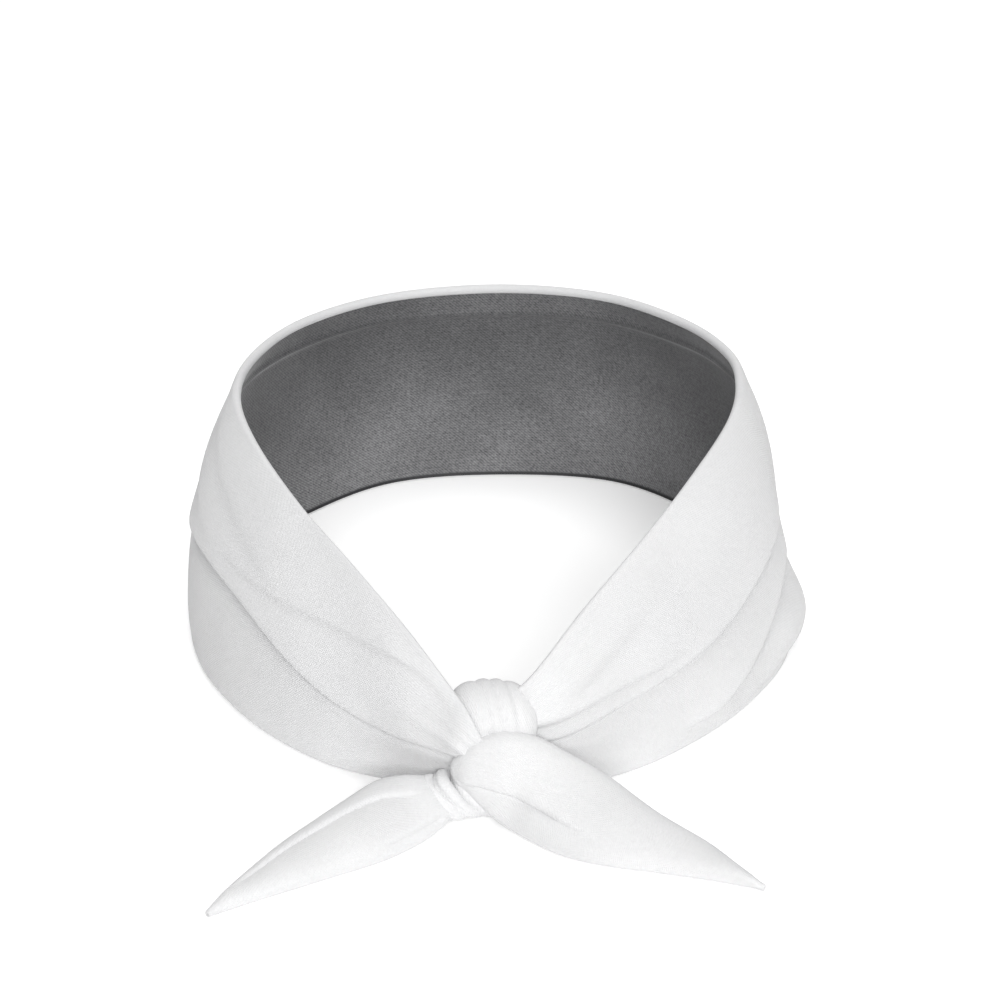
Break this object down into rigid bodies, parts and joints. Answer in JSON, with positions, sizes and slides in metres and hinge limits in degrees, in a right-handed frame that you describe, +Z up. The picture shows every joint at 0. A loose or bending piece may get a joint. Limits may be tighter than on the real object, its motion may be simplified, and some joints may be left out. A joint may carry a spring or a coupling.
{
  "type": "sports headband",
  "caption": "Wide lined knit headband tied into a loop, with a knot and pointed tails that lift and swing; keeps hair and sweat off the face.",
  "frame": {"origin": "centre of the head opening, on the plane that the lower edge stands on", "axes": "+Z up through the head opening, +Y to the forehead panel, -Y to the knot, +X to the right seen from the knot"},
  "size_m": [0.1664, 0.2365, 0.0643],
  "materials": {
    "white_knit": "matt fine jersey knit with a soft sheen",
    "charcoal_lining": "smooth diagonal knit with a soft sheen",
    "sewing_thread": "polyester thread, slightly glossy"
  },
  "bodies": {
    "band": {"band_outer": "white_knit", "band_lining": "charcoal_lining", "upper_edge_hem": "white_knit", "lower_edge_hem": "white_knit", "closing_stitches": "sewing_thread", "knot_upper_turn": "white_knit", "knot_lower_turn": "white_knit", "knot_left_strand": "white_knit", "knot_right_strand": "white_knit", "knot_front_turn": "white_knit", "left_tail_wrap": "white_knit", "right_tail_wrap": "white_knit"},
    "left_neck": {"left_tail_neck": "white_knit"},
    "left_tail": {"left_tail_outer": "white_knit", "left_tail_lining": "charcoal_lining", "left_tail_tip_tack": "sewing_thread"},
    "right_neck": {"right_tail_neck": "white_knit"},
    "right_tail": {"right_tail_outer": "white_knit", "right_tail_lining": "charcoal_lining", "right_tail_tip_tack": "sewing_thread"}
  },
  "joints": [
    {"name": "left_tail_swing", "type": "hinge", "parent": "band", "child": "left_neck", "pos_m": [-0.016, -0.1062, 0.007], "axis": [0, 0, 1], "range_deg": [-20, 20]},
    {"name": "left_tail_lift", "type": "hinge", "parent": "left_neck", "child": "left_tail", "pos_m": [-0.016, -0.1062, 0.007], "axis": [-0.6296, 0.7769, 0], "range_deg": [0, 65]},
    {"name": "right_tail_swing", "type": "hinge", "parent": "band", "child": "right_neck", "pos_m": [0.006, -0.111, 0.008], "axis": [0, 0, 1], "range_deg": [-20, 20]},
    {"name": "right_tail_lift", "type": "hinge", "parent": "right_neck", "child": "right_tail", "pos_m": [0.006, -0.111, 0.008], "axis": [-0.4229, -0.9062, 0], "range_deg": [0, 65]}
  ]
}
